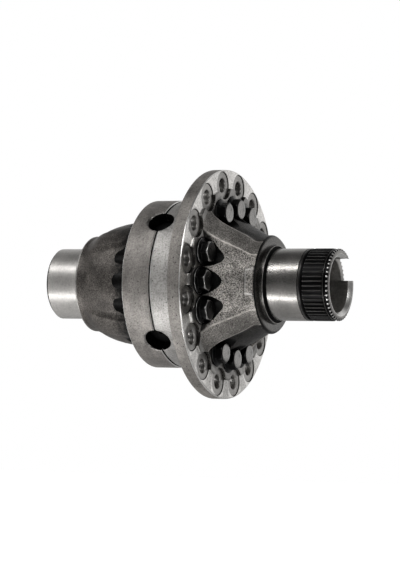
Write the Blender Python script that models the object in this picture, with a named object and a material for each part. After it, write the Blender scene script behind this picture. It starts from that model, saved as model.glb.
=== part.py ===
"""Differential gear assembly of a heavy drive axle.

A two-piece case carries a four-arm cross with four bevel pinions, which mesh
with two bevel side gears.  Twelve flange bolts join the case halves, and the
wide flange takes the crown wheel.

The frame's origin is the centre of the cross, in the plane where the halves
meet.  +X runs along the axis of rotation to the splined end, and +Z is up.
Sizes in this script are millimetres, and turn into metres as meshes are made.
"""

from math import acos, atan2, cos, hypot, pi, radians, sin, sqrt, tan

import bmesh
import bpy
from mathutils import Matrix, Vector

MM = 0.001
GAP = 0.3                    # space kept between pieces that rest on each other

# Case: places along X, and radii
OUTER_STEPS = 48             # facets around the rings and the flange
BELL_STEPS = 40              # facets around the bells: 9 degrees each, so an arm has one in its middle
INNER_STEPS = 32             # facets around the journals, the cavity and the bores
CAVITY_ARC_STEPS = 4         # facets from the gear seat to the split plane
LEFT_END = -176.0
LEFT_HUB_FACE = -126.0
LEFT_RING_BACK = -37.2
FLANGE_BACK = 43.5
FLANGE_FRONT = 60.6
BOLT_SEAT = 63.5
RIGHT_HUB_FACE = 123.4
SHOULDER_FACE = 128.0
UNDERCUT_START = 127.6       # the undercut also relieves the foot of the shoulder's face
RIGHT_JOURNAL_START = 131.3
DARK_COLLAR_END = 176.2
SPLINE_START = 178.5
SPLINE_END = 204.6
END_LAND_START = 209.5
RIGHT_END = 212.8

JOURNAL_R = 45.0
LEFT_COLLAR_R = 61.0
RIGHT_COLLAR_R = 61.7
SHOULDER_R = 48.8
SHOULDER_SEAT_R = 45.4       # inner edge of the face that the right bearing rests on
UNDERCUT_R = 43.8
LEFT_RING_R = 106.0
RIGHT_RING_R = 105.0
FLANGE_R = 144.0
RAISED_RING_R = 120.5
SPLINE_ROOT_R = 42.8
GROOVE_R = 42.5
AXLE_BORE_R = 34.0
LEFT_HUB_CHAMFER = 2.0
LEFT_END_CHAMFER = 3.0
RIGHT_END_CHAMFER = 1.5
RIGHT_BORE_CHAMFER = 4.5

# Case: the cavity
CAVITY_R = 76.5
GEAR_SEAT_X = 50.0
HUB_BORE_R = 40.0
HUB_BORE_END = 75.0

# Case: the bells, as (x, radius between the arms, rise of the arms).
# The four broad arms of each bell stand proud at 45 degrees.
ARM_ANGLES = (45, 135, 225, 315)
ARM_HALF_ANGLE = 9.0
ARM_FADE_ANGLE = 18.0
RIGHT_BELL = ((63.5, 96.0, 14.0), (68.0, 90.0, 10.5), (76.0, 82.8, 8.5), (88.0, 74.9, 7.5),
              (102.0, 67.3, 4.5), (113.0, 61.7, 0.0))
LEFT_BELL = ((-37.2, 91.0, 2.0), (-43.0, 84.0, 4.5), (-58.0, 79.6, 5.0), (-80.0, 75.6, 5.0),
             (-98.0, 70.2, 4.5), (-112.0, 63.4, 1.5), (-119.0, 61.0, 0.0))

# Fastenings
FLANGE_HOLES = 16
FLANGE_PITCH_R = 125.0
FLANGE_HOLE_R = 8.6
SPOTFACE_R = 17.5
SPOTFACE_DEPTH = 1.0
BOLT_ANGLES = (0, 22.5, 67.5, 90, 112.5, 157.5, 180, 202.5, 247.5, 270, 292.5, 337.5)
BOLT_PITCH_R = 94.0
BOLT_SHANK_R = 8.0
BOLT_HOLE_R = 8.6
BOLT_POCKET_R = 18.0
BOLT_POCKET_FLOOR = 63.1
BOLT_FLANGE_R = 16.6
BOLT_FLANGE_H = 3.0
BOLT_HEAD_FLATS = 24.0
BOLT_HEAD_TOP = 76.3
BOLT_TIP = -34.0
BOLT_TIP_RELIEF_R = 17.4     # scallops in the plain half beside each bolt's tip
BOLT_TIP_RELIEF = (-66.0, -36.5)
HOLE_STEPS = 12
BOLT_SHANK_STEPS = 12
BOLT_FLANGE_STEPS = 18
BOLT_FLANGE_LAND = 1.2       # height of the straight part of a bolt's flange
CUTTER_OVERRUN = 5.0         # how far a hole's cutter runs past the metal

# Splined end
SPLINE_TEETH = 48
NOTCH_FLOOR = 199.5
NOTCH_START = 8.0            # distance from the axis, inside the bore
NOTCH_LOW = 7.0
NOTCH_HIGH = 34.0

# Cross and its arms
CROSS_ARM_R = 15.9
CROSS_ARM_END = 90.0
CROSS_ARM_CHAMFER = 1.5
ARM_STEPS = 16               # facets around an arm and its hole
CROSS_HUB_R = 27.0
CROSS_HUB_HALF = 15.0
CROSS_HUB_CHAMFER = 3.0
CROSS_HUB_STEPS = 24
CROSS_BORE_R = 9.0
CROSS_ARM_START = 18.0       # inside the hub, clear of its hole
CASE_ARM_HOLE_R = 16.4
PINION_BORE_R = 16.5

# Bevel gears, which share one apex at the origin
MODULE = 6.0
PINION_TEETH = 12
SIDE_TEETH = 20
PRESSURE_ANGLE = radians(25)
ADDENDUM = 0.8 * MODULE
DEDENDUM = 1.0 * MODULE
BACKLASH = 0.3               # taken off each tooth's thickness at the pitch line
TOE_SCALE = 0.72             # the teeth's inner end, as a part of their outer end
PINION_TOE_FACE = 44.5
PINION_BACK_R = 73.6         # the sphere of the pinions' backs
PINION_BACK_RADII = (34.0, 25.0, PINION_BORE_R)
WASHER_IN_R = 74.1
WASHER_OUT_R = 75.4
PINION_WASHER_BORE_R = 17.2
PINION_WASHER_RIM_R = 33.0
WASHER_STEPS = 24
SIDE_THRUST_X = 47.9
SIDE_THRUST_R = 54.5
SIDE_HUB_R = 39.5
SIDE_HUB_END = 74.0
SIDE_FACE_X = 19.0
SIDE_FACE_R = 36.0
SIDE_SPLINE_TEETH = 16
SIDE_SPLINE_TIP_R = 27.0
SIDE_SPLINE_ROOT_R = 29.5
SIDE_WASHER = (48.2, 49.7)
SIDE_WASHER_BORE_R = 40.4
SIDE_WASHER_RIM_R = 55.0


# ---------------------------------------------------------------- helpers

def clear_scene():
    """Remove every object that is already in the scene."""
    for obj in list(bpy.data.objects):
        bpy.data.objects.remove(obj, do_unlink=True)


def make_material(name, colour, roughness, metallic):
    """A Principled material with one plain finish."""
    material = bpy.data.materials.new(name)
    material.use_nodes = True
    shader = material.node_tree.nodes["Principled BSDF"]
    shader.inputs["Base Color"].default_value = (*colour, 1.0)
    shader.inputs["Roughness"].default_value = roughness
    shader.inputs["Metallic"].default_value = metallic
    return material


def make_object(name, bm, material=None):
    """Turn a bmesh in millimetres into an object in metres."""
    bmesh.ops.recalc_face_normals(bm, faces=bm.faces)
    if bm.calc_volume(signed=True) < 0:
        bmesh.ops.reverse_faces(bm, faces=bm.faces)
    bmesh.ops.scale(bm, vec=(MM, MM, MM), verts=bm.verts)
    mesh = bpy.data.meshes.new(name)
    bm.to_mesh(mesh)
    bm.free()
    mesh.shade_smooth()
    mesh.set_sharp_from_angle(angle=radians(35))
    if material:
        mesh.materials.append(material)
    obj = bpy.data.objects.new(name, mesh)
    bpy.context.scene.collection.objects.link(obj)
    return obj


def spin_profile(bm, profile, steps, first_angle=0.0):
    """Turn a profile of (x, radius) points about X, and return its new vertices."""
    across = sin(first_angle)
    up = cos(first_angle)
    start = [bm.verts.new((x, r * across, r * up)) for x, r in profile]
    closed = profile[0][1] > 0
    ends = start[1:] + start[:1] if closed else start[1:]
    edges = [bm.edges.new(pair) for pair in zip(start, ends)]
    before = set(bm.verts)
    bmesh.ops.spin(bm, geom=start + edges, cent=(0, 0, 0), axis=(1, 0, 0),
                   angle=2 * pi, steps=steps, use_merge=True)
    verts = start + [v for v in bm.verts if v not in before]
    if not closed:
        tips = [v for v in verts if hypot(v.co.y, v.co.z) < 0.001]
        bmesh.ops.remove_doubles(bm, verts=tips, dist=0.001)
        verts = [v for v in verts if v.is_valid]
    return verts


def turns(verts):
    """The angle of each vertex round X, rising from the first, with the first again at the end."""
    angles = []
    for vert in verts + verts[:1]:
        angle = atan2(vert.co.z, vert.co.y)
        while angles and angle < angles[-1]:
            angle += 2 * pi
        angles.append(angle)
    return angles


def close_teeth(bm, per_tooth, verts):
    """Cap the ends of a ring's teeth, and return the plain ring of their roots."""
    if not per_tooth:
        return verts
    roots = []
    for first in range(0, len(verts), per_tooth):
        tooth = verts[first:first + per_tooth]
        bm.faces.new(tooth)
        roots += [tooth[0], tooth[-1]]
    return roots


def join_equal(bm, ring, following):
    """Skin the strip between two rings that have the same number of points."""
    for i in range(len(ring)):
        bm.faces.new((ring[i - 1], ring[i], following[i], following[i - 1]))


def join_unequal(bm, ring, following):
    """Skin the strip between two round rings with triangles, in step by angle."""
    ring_turns = turns(ring)
    following_turns = turns(following)
    i = 0
    j = 0
    while i < len(ring) or j < len(following):
        here = ring[i % len(ring)]
        there = following[j % len(following)]
        if j == len(following) or (i < len(ring) and ring_turns[i + 1] <= following_turns[j + 1]):
            i += 1
            bm.faces.new((here, ring[i % len(ring)], there))
        else:
            j += 1
            bm.faces.new((here, following[j % len(following)], there))


def join_rings(bm, ring, following):
    """Skin the strip between two rings, closing their teeth where only one has any."""
    ring_teeth, ring_verts = ring
    following_teeth, following_verts = following
    if ring_teeth != following_teeth:
        ring_verts = close_teeth(bm, ring_teeth, ring_verts)
        following_verts = close_teeth(bm, following_teeth, following_verts)
    equal = len(ring_verts) == len(following_verts)
    join = join_equal if equal else join_unequal
    join(bm, ring_verts, following_verts)


def bridge_rings(bm, rings, closed=True):
    """Skin rings in turn, then the last to the first, or cap both ends.

    A ring is a pair: its points in each tooth, or 0 if it is plain, and all its points.
    """
    made = [(per_tooth, [bm.verts.new(point) for point in points]) for per_tooth, points in rings]
    for ring, following in zip(made, made[1:]):
        join_rings(bm, ring, following)
    if closed:
        join_rings(bm, made[-1], made[0])
    else:
        bm.faces.new(made[0][1])
        bm.faces.new(made[-1][1])


def circle(x, radius, count):
    """A plain round ring at one place along X."""
    angles = [2 * pi * i / count for i in range(count)]
    return 0, [(x, radius * cos(a), radius * sin(a)) for a in angles]


def spline_ring(x, teeth, root_r, tip_r):
    """A ring of pointed spline teeth, outwards or inwards."""
    outline = ((-0.42, root_r), (0.0, tip_r), (0.42, root_r))
    points = []
    for i in range(teeth):
        for part, r in outline:
            turn = 2 * pi * (i + part) / teeth
            points.append((x, r * cos(turn), r * sin(turn)))
    return len(outline), points


def arc(radius, x_from, x_to, count):
    """Points (x, r) on a sphere about the origin, between two places along X."""
    first = acos(x_from / radius)
    last = acos(x_to / radius)
    angles = [first + (last - first) * i / count for i in range(count + 1)]
    return [(radius * cos(a), radius * sin(a)) for a in angles]


def turn_to(direction):
    """The rotation that takes +X to a direction."""
    return Vector((1, 0, 0)).rotation_difference(direction).to_matrix().to_4x4()


def radial(angle):
    """The unit vector at an angle round X, from the front (-Y) towards the top."""
    return Vector((0.0, -cos(radians(angle)), sin(radians(angle))))


def cut(target, cutter):
    """Take a cutter's volume away from an object."""
    cutter.hide_render = True
    cutter.display_type = "WIRE"
    modifier = target.modifiers.new(cutter.name, "BOOLEAN")
    modifier.operation = "DIFFERENCE"
    modifier.solver = "EXACT"
    modifier.object = cutter


# ---------------------------------------------------------------- case halves

def bell_ring(x, radius, rise):
    """A ring round a bell, raised where its four arms are."""
    ring = []
    for _, y, z in circle(x, radius, BELL_STEPS)[1]:
        from_arm = (atan2(z, y) * 180 / pi) % 90 - 45
        fade = (ARM_FADE_ANGLE - abs(from_arm)) / (ARM_FADE_ANGLE - ARM_HALF_ANGLE)
        scale = 1 + rise / radius * min(1.0, max(0.0, fade))
        ring.append((x, y * scale, z * scale))
    return 0, ring


def cavity_rings(side):
    """The inside of a case half, from its axle bore back to the split plane."""
    inner = [(HUB_BORE_END, AXLE_BORE_R), (HUB_BORE_END, HUB_BORE_R), (GEAR_SEAT_X, HUB_BORE_R)]
    inner += arc(CAVITY_R, GEAR_SEAT_X, GAP / 2, CAVITY_ARC_STEPS)
    return [circle(side * x, r, INNER_STEPS) for x, r in inner]


def plain_half_rings():
    """Rings of the left half, from the split plane out along its outside and back inside."""
    rings = [circle(-GAP / 2, LEFT_RING_R, OUTER_STEPS),
             circle(LEFT_RING_BACK, LEFT_RING_R, OUTER_STEPS)]
    rings += [bell_ring(*station) for station in LEFT_BELL]
    rings += [circle(LEFT_HUB_FACE + LEFT_HUB_CHAMFER, LEFT_COLLAR_R, BELL_STEPS),
              circle(LEFT_HUB_FACE, LEFT_COLLAR_R - LEFT_HUB_CHAMFER, BELL_STEPS)]
    shaft = [(LEFT_HUB_FACE, JOURNAL_R), (LEFT_END + LEFT_END_CHAMFER, JOURNAL_R),
             (LEFT_END, JOURNAL_R - LEFT_END_CHAMFER), (LEFT_END, AXLE_BORE_R)]
    rings += [circle(x, r, INNER_STEPS) for x, r in shaft]
    return rings + cavity_rings(-1)


def flanged_half_rings():
    """Rings of the right half, from the split plane out along its outside and back inside."""
    flange = [(GAP / 2, RIGHT_RING_R), (FLANGE_BACK, RIGHT_RING_R), (FLANGE_BACK, FLANGE_R),
              (FLANGE_FRONT, FLANGE_R), (FLANGE_FRONT, RAISED_RING_R), (BOLT_SEAT, RAISED_RING_R)]
    rings = [circle(x, r, OUTER_STEPS) for x, r in flange]
    rings += [bell_ring(*station) for station in RIGHT_BELL]
    rings.append(circle(RIGHT_HUB_FACE, RIGHT_COLLAR_R, BELL_STEPS))
    shaft = [(RIGHT_HUB_FACE, SHOULDER_R), (SHOULDER_FACE, SHOULDER_R),
             (SHOULDER_FACE, SHOULDER_SEAT_R), (UNDERCUT_START, UNDERCUT_R),
             (RIGHT_JOURNAL_START, JOURNAL_R),
             (DARK_COLLAR_END, JOURNAL_R), (DARK_COLLAR_END, GROOVE_R), (SPLINE_START, GROOVE_R)]
    rings += [circle(x, r, INNER_STEPS) for x, r in shaft]
    rings += [spline_ring(x, SPLINE_TEETH, SPLINE_ROOT_R, JOURNAL_R)
              for x in (SPLINE_START, SPLINE_END)]
    end = [(SPLINE_END, GROOVE_R), (END_LAND_START, GROOVE_R), (END_LAND_START, JOURNAL_R),
           (RIGHT_END - RIGHT_END_CHAMFER, JOURNAL_R), (RIGHT_END, JOURNAL_R - RIGHT_END_CHAMFER),
           (RIGHT_END, AXLE_BORE_R + RIGHT_BORE_CHAMFER),
           (RIGHT_END - RIGHT_BORE_CHAMFER, AXLE_BORE_R)]
    rings += [circle(x, r, INNER_STEPS) for x, r in end]
    return rings + cavity_rings(1)


def make_case_half(name, rings, material):
    """A case half before its holes, with the bell's twisted faces split in two."""
    bm = bmesh.new()
    bridge_rings(bm, rings)
    bmesh.ops.connect_verts_nonplanar(bm, angle_limit=radians(0.01), faces=bm.faces)
    return make_object(name, bm, material)


def add_stepped_pin(bm, profile, angle, pitch_r):
    """One turned cutter along X, at a place on a bolt circle."""
    half_step = pi / HOLE_STEPS
    verts = spin_profile(bm, profile, HOLE_STEPS, radians(angle) + half_step)
    bmesh.ops.translate(bm, vec=radial(angle) * pitch_r, verts=verts)


def add_flange_holes(bm):
    """Crown wheel bolt holes with their spotfaces."""
    low = FLANGE_BACK - CUTTER_OVERRUN
    floor = FLANGE_FRONT - SPOTFACE_DEPTH
    high = BOLT_SEAT + CUTTER_OVERRUN
    profile = [(low, 0), (low, FLANGE_HOLE_R), (floor, FLANGE_HOLE_R), (floor, SPOTFACE_R),
               (high, SPOTFACE_R), (high, 0)]
    for i in range(FLANGE_HOLES):
        add_stepped_pin(bm, profile, (i + 0.5) * 360 / FLANGE_HOLES, FLANGE_PITCH_R)


def add_bolt_holes(bm):
    """Case bolt holes with the pockets that clear the heads, and the tips' scallops."""
    scallop_end, scallop_floor = BOLT_TIP_RELIEF
    profile = [(scallop_end, 0), (scallop_end, BOLT_TIP_RELIEF_R),
               (scallop_floor, BOLT_TIP_RELIEF_R), (scallop_floor, BOLT_HOLE_R),
               (BOLT_POCKET_FLOOR, BOLT_HOLE_R), (BOLT_POCKET_FLOOR, BOLT_POCKET_R),
               (RIGHT_HUB_FACE, BOLT_POCKET_R), (RIGHT_HUB_FACE, 0)]
    for angle in BOLT_ANGLES:
        add_stepped_pin(bm, profile, angle, BOLT_PITCH_R)


def add_arm_holes(bm):
    """The four radial holes that hold the cross, half in each case half."""
    start = CAVITY_R - CASE_ARM_HOLE_R
    end = LEFT_RING_R + CUTTER_OVERRUN
    profile = [(start, 0), (start, CASE_ARM_HOLE_R), (end, CASE_ARM_HOLE_R), (end, 0)]
    for angle in ARM_ANGLES:
        verts = spin_profile(bm, profile, ARM_STEPS, pi / ARM_STEPS)
        bmesh.ops.transform(bm, matrix=turn_to(radial(angle)), verts=verts)


def add_notch(bm):
    """The slot across the splined end's far wall."""
    length = RIGHT_END - NOTCH_FLOOR + CUTTER_OVERRUN
    height = NOTCH_HIGH - NOTCH_LOW
    centre = (NOTCH_FLOOR + length / 2, NOTCH_START + JOURNAL_R / 2, (NOTCH_LOW + NOTCH_HIGH) / 2)
    verts = bmesh.ops.create_cube(bm, size=1)["verts"]
    bmesh.ops.scale(bm, vec=(length, JOURNAL_R, height), verts=verts)
    bmesh.ops.translate(bm, vec=centre, verts=verts)


def make_case():
    """Both case halves, with their holes."""
    iron = make_material("case_iron", (0.36, 0.36, 0.37), 0.42, 0.9)
    dark_iron = make_material("case_iron_dark", (0.3, 0.3, 0.31), 0.48, 0.9)
    plain = make_case_half("case_half_plain", plain_half_rings(), dark_iron)
    flanged = make_case_half("case_half_flanged", flanged_half_rings(), iron)
    bm = bmesh.new()
    for add_holes in (add_flange_holes, add_bolt_holes, add_arm_holes, add_notch):
        add_holes(bm)
    cutter = make_object("case_cutter", bm)
    cut(plain, cutter)
    cut(flanged, cutter)


# ---------------------------------------------------------------- bolts

def make_bolts():
    """The flange bolts, each with its head in a pocket and its shank through both halves."""
    black = make_material("bolt_black", (0.05, 0.05, 0.055), 0.45, 0.7)
    seat = BOLT_POCKET_FLOOR + GAP
    corner_r = BOLT_HEAD_FLATS / 2 / cos(pi / 6)
    flange_top = seat + BOLT_FLANGE_H
    bm = bmesh.new()
    rings = [circle(BOLT_TIP, BOLT_SHANK_R, BOLT_SHANK_STEPS),
             circle(seat, BOLT_SHANK_R, BOLT_SHANK_STEPS),
             circle(seat, BOLT_FLANGE_R, BOLT_FLANGE_STEPS),
             circle(seat + BOLT_FLANGE_LAND, BOLT_FLANGE_R, BOLT_FLANGE_STEPS),
             circle(flange_top, corner_r, 6), circle(BOLT_HEAD_TOP, corner_r, 6)]
    bridge_rings(bm, rings, closed=False)
    first = make_object("case_bolt_01", bm, black)
    for number, angle in enumerate(BOLT_ANGLES, 1):
        bolt = first
        if number > 1:
            bolt = bpy.data.objects.new(f"case_bolt_{number:02d}", first.data)
            bpy.context.scene.collection.objects.link(bolt)
        bolt.location = radial(angle) * BOLT_PITCH_R * MM


# ---------------------------------------------------------------- cross and washers

def make_cross():
    """The cross: a hub with a hole through it, and four round arms in the split plane."""
    steel = make_material("cross_steel", (0.5, 0.5, 0.5), 0.3, 1.0)
    bm = bmesh.new()
    face = CROSS_HUB_HALF
    edge = CROSS_HUB_HALF - CROSS_HUB_CHAMFER
    face_r = CROSS_HUB_R - CROSS_HUB_CHAMFER
    spin_profile(bm, [(-face, CROSS_BORE_R), (-face, face_r), (-edge, CROSS_HUB_R),
                      (edge, CROSS_HUB_R), (face, face_r), (face, CROSS_BORE_R)], CROSS_HUB_STEPS)
    cross = make_object("spider_cross", bm, steel)
    arms = bmesh.new()
    start = CROSS_ARM_START
    tip = CROSS_ARM_END
    profile = [(start, 0), (start, CROSS_ARM_R), (tip - CROSS_ARM_CHAMFER, CROSS_ARM_R),
               (tip, CROSS_ARM_R - CROSS_ARM_CHAMFER), (tip, 0)]
    for angle in ARM_ANGLES:
        verts = spin_profile(arms, profile, ARM_STEPS)
        bmesh.ops.transform(arms, matrix=turn_to(radial(angle)), verts=verts)
    adder = make_object("cross_arm_adder", arms)
    adder.hide_render = True
    adder.display_type = "WIRE"
    union = cross.modifiers.new("arms", "BOOLEAN")
    union.operation = "UNION"
    union.solver = "EXACT"
    union.use_self = True
    union.object = adder


def make_pinion_washers():
    """Dished thrust washers between each pinion's back and the cavity wall."""
    bronze = make_material("pinion_washer_bronze", (0.55, 0.4, 0.22), 0.35, 1.0)
    bore_out = sqrt(WASHER_OUT_R ** 2 - PINION_WASHER_BORE_R ** 2)
    rim_out = sqrt(WASHER_OUT_R ** 2 - PINION_WASHER_RIM_R ** 2)
    bore_in = sqrt(WASHER_IN_R ** 2 - PINION_WASHER_BORE_R ** 2)
    rim_in = sqrt(WASHER_IN_R ** 2 - PINION_WASHER_RIM_R ** 2)
    profile = arc(WASHER_OUT_R, bore_out, rim_out, 2) + arc(WASHER_IN_R, rim_in, bore_in, 2)
    for number, angle in enumerate(ARM_ANGLES, 1):
        bm = bmesh.new()
        spin_profile(bm, profile, WASHER_STEPS)
        washer = make_object(f"pinion_washer_{number}", bm, bronze)
        washer.matrix_world = turn_to(radial(angle))


def make_side_washers():
    """Flat thrust washers behind the side gears."""
    bronze = make_material("side_washer_bronze", (0.5, 0.37, 0.21), 0.35, 1.0)
    near, far = SIDE_WASHER
    profile = [(near, SIDE_WASHER_BORE_R), (far, SIDE_WASHER_BORE_R),
               (far, SIDE_WASHER_RIM_R), (near, SIDE_WASHER_RIM_R)]
    for name, side in (("side_gear_washer_left", -1), ("side_gear_washer_right", 1)):
        bm = bmesh.new()
        spin_profile(bm, [(side * x, r) for x, r in profile], INNER_STEPS)
        make_object(name, bm, bronze)


# ---------------------------------------------------------------- bevel gears

def tooth_half_angle(height, virtual_r):
    """Half a tooth's angle on the unrolled back cone, at a height over the pitch line."""
    base_r = virtual_r * cos(PRESSURE_ANGLE)
    here = acos(base_r / max(base_r, virtual_r + height))
    at_pitch = (pi * MODULE / 2 - BACKLASH) / (2 * virtual_r)
    return at_pitch + tan(PRESSURE_ANGLE) - PRESSURE_ANGLE - (tan(here) - here)


def tooth_ring(teeth, mate_teeth, scale, side=1):
    """The teeth of a bevel gear at one cone distance, round X, with the apex at the origin."""
    cone = atan2(teeth, mate_teeth)
    pitch_r = teeth * MODULE / 2
    pitch_x = mate_teeth * MODULE / 2
    virtual_r = pitch_r / cos(cone)
    heights = (-DEDENDUM, 0.0, ADDENDUM)
    flank = [(h, -tooth_half_angle(h, virtual_r)) for h in heights]
    outline = flank + [(h, -a) for h, a in reversed(flank)]
    points = []
    for i in range(teeth):
        for height, angle in outline:
            turn = 2 * pi * i / teeth + angle / cos(cone)
            r = scale * (pitch_r + height * cos(cone))
            x = scale * (pitch_x - height * sin(cone))
            points.append((side * x, r * cos(turn), r * sin(turn)))
    return len(outline), points


def make_pinions():
    """Four bevel pinions, each turning on an arm of the cross."""
    steel = make_material("pinion_steel", (0.42, 0.42, 0.43), 0.32, 1.0)
    steps = 2 * PINION_TEETH
    rings = [circle(PINION_TOE_FACE, PINION_BORE_R, steps),
             tooth_ring(PINION_TEETH, SIDE_TEETH, TOE_SCALE),
             tooth_ring(PINION_TEETH, SIDE_TEETH, 1)]
    rings += [circle(sqrt(PINION_BACK_R ** 2 - r ** 2), r, steps) for r in PINION_BACK_RADII]
    for number, angle in enumerate(ARM_ANGLES, 1):
        bm = bmesh.new()
        bridge_rings(bm, rings)
        pinion = make_object(f"pinion_{number}", bm, steel)
        out = radial(angle)
        across = Vector((1, 0, 0))
        pinion.matrix_world = Matrix((out, across, out.cross(across))).transposed().to_4x4()


def make_side_gears():
    """Two bevel side gears, whose splined hubs turn in the case halves."""
    steel = make_material("side_gear_steel", (0.4, 0.4, 0.41), 0.34, 1.0)
    steps = 2 * SIDE_TEETH
    for name, side in (("side_gear_left", -1), ("side_gear_right", 1)):
        face = side * SIDE_FACE_X
        thrust = side * SIDE_THRUST_X
        end = side * SIDE_HUB_END
        bm = bmesh.new()
        bridge_rings(bm, [
            spline_ring(face, SIDE_SPLINE_TEETH, SIDE_SPLINE_ROOT_R, SIDE_SPLINE_TIP_R),
            circle(face, SIDE_FACE_R, steps),
            tooth_ring(SIDE_TEETH, PINION_TEETH, TOE_SCALE, side),
            tooth_ring(SIDE_TEETH, PINION_TEETH, 1, side),
            circle(thrust, SIDE_THRUST_R, steps), circle(thrust, SIDE_HUB_R, steps),
            circle(end, SIDE_HUB_R, steps),
            spline_ring(end, SIDE_SPLINE_TEETH, SIDE_SPLINE_ROOT_R, SIDE_SPLINE_TIP_R)])
        make_object(name, bm, steel)


def main():
    clear_scene()
    make_case()
    make_bolts()
    make_cross()
    make_pinion_washers()
    make_side_washers()
    make_pinions()
    make_side_gears()


main()
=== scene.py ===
"""Looks of the differential gear assembly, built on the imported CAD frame.

The frame's X is the axis of rotation, -Y is the front and +Z is up.  Angles round X run
from the front towards the top.  Lengths here are millimetres until a mesh is made.
"""

from math import acos, atan2, cos, pi, radians, sin, sqrt, tan

import bmesh
import bpy
import numpy as np
from mathutils import Matrix, Vector, noise


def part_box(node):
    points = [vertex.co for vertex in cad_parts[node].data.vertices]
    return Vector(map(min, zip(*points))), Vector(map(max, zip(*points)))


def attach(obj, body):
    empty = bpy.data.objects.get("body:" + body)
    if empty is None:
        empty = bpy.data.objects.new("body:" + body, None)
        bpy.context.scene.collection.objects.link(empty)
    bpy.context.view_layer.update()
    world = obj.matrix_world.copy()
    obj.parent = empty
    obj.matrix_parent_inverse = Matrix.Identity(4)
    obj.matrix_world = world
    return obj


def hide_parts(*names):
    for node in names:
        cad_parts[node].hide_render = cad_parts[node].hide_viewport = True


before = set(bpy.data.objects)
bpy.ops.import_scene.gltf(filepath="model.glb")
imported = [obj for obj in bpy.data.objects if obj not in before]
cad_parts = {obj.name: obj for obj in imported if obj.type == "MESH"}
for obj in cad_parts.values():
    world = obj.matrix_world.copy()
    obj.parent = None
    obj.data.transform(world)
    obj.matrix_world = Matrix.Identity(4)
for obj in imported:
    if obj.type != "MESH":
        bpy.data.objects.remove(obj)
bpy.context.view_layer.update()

MM = 0.001

STEPS = 192                  # points round a case half: 4 for each tooth of the outer spline
TOOTH_STEPS = 4
HOLE_STEPS = 32
POCKET_STEPS = 40
ARM_HOLE_STEPS = 48
CROSS_HUB_STEPS = 96
CROSS_ARM_STEPS = 64
WASHER_STEPS = (96, 128)     # of a dished washer and a flat one
SHARP_ANGLE = 32             # edges sharper than this are drawn sharp
BEVEL_ANGLE = 38             # and cut edges sharper than this are chamfered
CASE_CHAMFER = 0.45
AXIS = Vector((1, 0, 0))
ARM_ANGLES = (45, 135, 225, 315)
BOLT_ANGLES = (0, 22.5, 67.5, 90, 112.5, 157.5, 180, 202.5, 247.5, 270, 292.5, 337.5)


def x_span(node):
    """Where a CAD node starts and ends along X, in millimetres."""
    low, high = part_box(node)
    return low.x / MM, high.x / MM


LEFT_END, SPLIT_LEFT = x_span("case_half_plain")
SPLIT_RIGHT, RIGHT_END = x_span("case_half_flanged")
BOLT_TIP, BOLT_TOP = x_span("case_bolt_01")
FLANGE_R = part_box("case_half_flanged")[1].z / MM
LEFT_RING_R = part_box("case_half_plain")[1].z / MM

# Case: places along X
LEFT_HUB_FACE = -126.0
LEFT_COLLAR_BACK = -119.0
LEFT_RING_BACK = -37.2
FLANGE_BACK = 43.5
FLANGE_FRONT = 60.6
BOLT_SEAT = 63.5
RIGHT_HUB_FACE = 123.4
SHOULDER_FACE = 128.0
RIGHT_JOURNAL_START = 131.3
DARK_COLLAR_START = 171.8
DARK_COLLAR_END = 176.2
SPLINE_START = 178.5
SPLINE_END = 204.6
END_LAND_START = 209.5

# Case: radii
JOURNAL_R = 45.0
LEFT_COLLAR_R = 61.0
RIGHT_COLLAR_R = 61.7
SHOULDER_R = 48.8
UNDERCUT_R = 43.8
RIGHT_RING_R = 105.0
RAISED_RING_R = 120.5
SPLINE_ROOT_R = 42.8
GROOVE_R = 42.5
AXLE_BORE_R = 34.0
CAVITY_R = 76.5
GEAR_SEAT_X = 50.0
HUB_BORE_R = 40.0
HUB_BORE_END = 75.0

# Bells, as (x, radius between the arms, radius of the arms)
RIGHT_BELL = ((63.5, 96.0, 113.0), (65.5, 91.5, 106.0), (69.0, 87.0, 100.0), (76.0, 81.0, 91.8),
              (88.0, 74.9, 82.4), (102.0, 67.3, 71.8), (113.0, 61.9, 61.9), (120.5, 61.7, 61.7))
LEFT_BELL = ((-37.2, 92.0, 94.0), (-39.5, 87.0, 91.0), (-45.0, 83.4, 88.0), (-58.0, 79.6, 84.6),
             (-80.0, 75.6, 80.6), (-98.0, 70.2, 74.7), (-112.0, 63.4, 64.9), (-119.0, 61.0, 61.0))
BELL_STATIONS = 32
ARM_EDGE_STEPS = 5             # mesh steps from an arm's middle to its edge
ARM_FOOT_STEPS = 9             # and to the foot of its side
RIGHT_ARM_ANGLES = (8.5, 11.4)  # from an arm's middle to its edge, at the flange and the collar
LEFT_ARM_ANGLES = (8.0, 11.0)
ARM_SIDE_ANGLE = 6.5
PAD = (109.0, 1.0, 15.5, 2.2)  # cast pad in front of the collar: start, angle, half angle, rise
PAD_STEPS = (0.0, 0.7, 1.6, 3.6)  # mesh steps up its side and over its lip, which is painted light as a highlight
# width of the pad's lip, which is painted light as a highlight
PAD_LIP = 2.0

# Holes and fastenings
FLANGE_HOLES = 16
FLANGE_PITCH_R = 125.0
FLANGE_HOLE_R = 8.6
SPOTFACE_R = 17.5
SPOTFACE_DEPTH = 1.0
BOLT_PITCH_R = 94.0
BOLT_HOLE_R = 8.6
POCKET_R = 18.0
POCKET_FLOOR = 63.1
RELIEF_R = 17.4
RELIEF = (-66.0, -36.5)
CASE_ARM_HOLE_R = 16.4
NOTCH_FLOOR = 199.5
NOTCH_LOW = 7.0
NOTCH_HIGH = 34.0
NOTCH_START = 8.0


# ---------------------------------------------------------------- materials

CAST_SPECULAR = 0.15
GRAIN_MIDDLE = 0.475         # where most of the cast skin's grain lies
# near-black that the bells' painted shade goes to
PAINTED_SHADE_COLOUR = (0.003, 0.003, 0.003)
STEEP = 0.78                 # height over distance from the axis, where the right bell's painted shade on its top and bottom sides starts


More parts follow.
